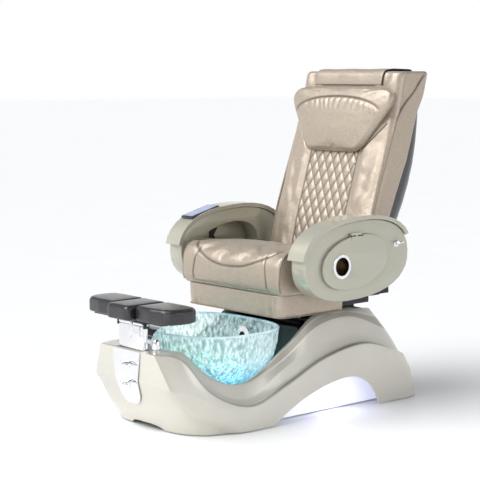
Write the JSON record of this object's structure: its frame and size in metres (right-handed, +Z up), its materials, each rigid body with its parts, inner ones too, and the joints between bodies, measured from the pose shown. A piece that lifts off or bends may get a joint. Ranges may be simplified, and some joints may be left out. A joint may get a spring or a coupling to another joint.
{
  "type": "pedicure spa chair",
  "caption": "Pedicure spa chair: swooping base with lit side arches, glass foot bowl, split footrest, sliding seat with lift-up arms and trays, reclining massage back.",
  "frame": {"origin": "on the floor under the middle of the chair's box at rest", "axes": "+Z up, -Y towards the footrest (the chair faces -Y), +X to the sitter's left"},
  "size_m": [0.8974, 1.494, 1.4035],
  "materials": {
    "pearl_shell": "pearl champagne gloss",
    "pearl_arm": "pearl greenish champagne gloss",
    "leather": "soft champagne leatherette",
    "black_plastic": "satin black",
    "footrest_skin": "smooth black skin foam",
    "chrome": "polished",
    "black_steel": "black powder coat",
    "steel": "zinc plated",
    "bowl_glass": "hammered clear glass",
    "glow_acrylic": "opal, lit from behind",
    "liner_white": "gloss white",
    "screen_glass": "touch screen",
    "rubber": "matte"
  },
  "bodies": {
    "base": {"base_shell": "pearl_shell", "base_frame": "black_steel", "seat_chassis": "black_steel", "seat_track_left": "steel", "seat_track_right": "steel", "seat_slide_motor": "black_steel", "power_box": "black_plastic", "power_inlet": "black_plastic", "rear_service_panel": "pearl_shell", "glow_panel_left": "glow_acrylic", "glow_panel_right": "glow_acrylic", "basin_liner": "liner_white", "bowl_back_panel": "black_plastic", "glass_bowl": "bowl_glass", "drain_flange": "chrome", "jet_cover": "chrome", "jet_motor": "black_plastic", "front_plate": "chrome", "waterfall_spout": "chrome"},
    "stopper": {"drain_stopper": "chrome"},
    "impeller": {"jet_impeller": "black_plastic"},
    "fill_valve": {"fill_valve_lever": "chrome"},
    "drain_valve": {"drain_valve_lever": "chrome"},
    "shower": {"hand_shower": "chrome"},
    "footrest_post": {"footrest_column": "chrome", "footrest_pin": "steel"},
    "footrest_head": {"footrest_frame": "black_steel", "footrest_pad_left": "footrest_skin", "footrest_pad_middle": "footrest_skin", "footrest_pad_right": "footrest_skin"},
    "footrest_trigger": {"footrest_lever": "chrome"},
    "seat": {"seat_carriage": "black_steel", "seat_pan": "black_steel", "seat_cushion": "leather", "seat_skirt": "leather", "recline_shaft": "steel", "recline_actuator": "black_steel"},
    "actuator_rod": {"recline_rod": "steel"},
    "back": {"back_frame": "black_steel", "back_shell": "black_plastic", "back_cushion": "leather", "head_pillow": "leather", "pillow_flap": "leather"},
    "massage": {"massage_carriage": "black_steel"},
    "roller_left": {"massage_roller_left": "rubber"},
    "roller_right": {"massage_roller_right": "rubber"},
    "arm_left": {"arm_housing_left": "pearl_arm", "arm_cap_left": "pearl_arm", "tray_bracket_left": "black_steel", "purse_hook_left": "chrome"},
    "arm_right": {"arm_housing_right": "pearl_arm", "arm_cap_right": "pearl_arm", "tray_bracket_right": "black_steel", "purse_hook_right": "chrome", "remote_bezel": "black_plastic", "remote_screen": "screen_glass"},
    "side_tray_left": {"tray_left": "pearl_arm", "cup_holder_left": "chrome"},
    "side_tray_right": {"tray_right": "pearl_arm", "cup_holder_right": "chrome"}
  },
  "joints": [
    {"name": "seat_slide", "type": "slide", "parent": "base", "child": "seat", "axis": [0, 1, 0], "range_m": [-0.06, 0.1]},
    {"name": "back_recline", "type": "hinge", "parent": "seat", "child": "back", "pos_m": [0, 0.435, 0.475], "axis": [-1, 0, 0], "range_deg": [0, 25]},
    {"name": "recline_rod_stroke", "type": "slide", "parent": "seat", "child": "actuator_rod", "axis": [0, 1, 0], "range_m": [-0.03, 0]},
    {"name": "arm_left_lift", "type": "hinge", "parent": "seat", "child": "arm_left", "pos_m": [0.34, 0.375, 0.58], "axis": [-1, 0, 0], "range_deg": [0, 60]},
    {"name": "arm_right_lift", "type": "hinge", "parent": "seat", "child": "arm_right", "pos_m": [-0.34, 0.375, 0.58], "axis": [-1, 0, 0], "range_deg": [0, 60]},
    {"name": "tray_left_flip", "type": "hinge", "parent": "arm_left", "child": "side_tray_left", "pos_m": [0.43, 0.124, 0.746], "axis": [0, -1, 0], "range_deg": [0, 90]},
    {"name": "tray_right_flip", "type": "hinge", "parent": "arm_right", "child": "side_tray_right", "pos_m": [-0.43, 0.124, 0.746], "axis": [0, 1, 0], "range_deg": [0, 90]},
    {"name": "massage_travel", "type": "slide", "parent": "back", "child": "massage", "axis": [0, 0.3371, 0.9415], "range_m": [0, 0.2]},
    {"name": "roller_left_spin", "type": "hinge", "parent": "massage", "child": "roller_left", "pos_m": [0.055, 0.5702, 0.89799], "axis": [1, 0, 0], "continuous": true},
    {"name": "roller_right_spin", "type": "hinge", "parent": "massage", "child": "roller_right", "pos_m": [-0.055, 0.5702, 0.89799], "axis": [1, 0, 0], "continuous": true},
    {"name": "footrest_height", "type": "slide", "parent": "base", "child": "footrest_post", "axis": [0, 0, 1], "range_m": [-0.02, 0.06]},
    {"name": "footrest_tilt", "type": "hinge", "parent": "footrest_post", "child": "footrest_head", "pos_m": [0, -0.665, 0.424], "axis": [1, 0, 0], "range_deg": [-10, 20]},
    {"name": "footrest_release", "type": "hinge", "parent": "footrest_head", "child": "footrest_trigger", "pos_m": [0.04, -0.703, 0.43], "axis": [-1, 0, 0], "range_deg": [0, 10], "stiffness_Nm_per_rad": 0.05},
    {"name": "fill_valve_turn", "type": "hinge", "parent": "base", "child": "fill_valve", "pos_m": [0, -0.7016, 0.268], "axis": [0, -1, 0], "range_deg": [0, 90]},
    {"name": "drain_valve_turn", "type": "hinge", "parent": "base", "child": "drain_valve", "pos_m": [0, -0.7013, 0.19], "axis": [0, -1, 0], "range_deg": [0, 90]},
    {"name": "stopper_lift", "type": "slide", "parent": "base", "child": "stopper", "axis": [0, 0, 1], "range_m": [0, 0.012]},
    {"name": "impeller_spin", "type": "hinge", "parent": "base", "child": "impeller", "pos_m": [0, -0.072, 0.3], "axis": [0, -0.9816, 0.1908], "continuous": true},
    {"name": "hand_shower_lift", "type": "slide", "parent": "base", "child": "shower", "axis": [0, 0, 1], "range_m": [0, 0.06]}
  ],
  "couplings": [
    {"joint": "recline_rod_stroke", "follows": "back_recline", "m_per_rad": -0.059}
  ]
}
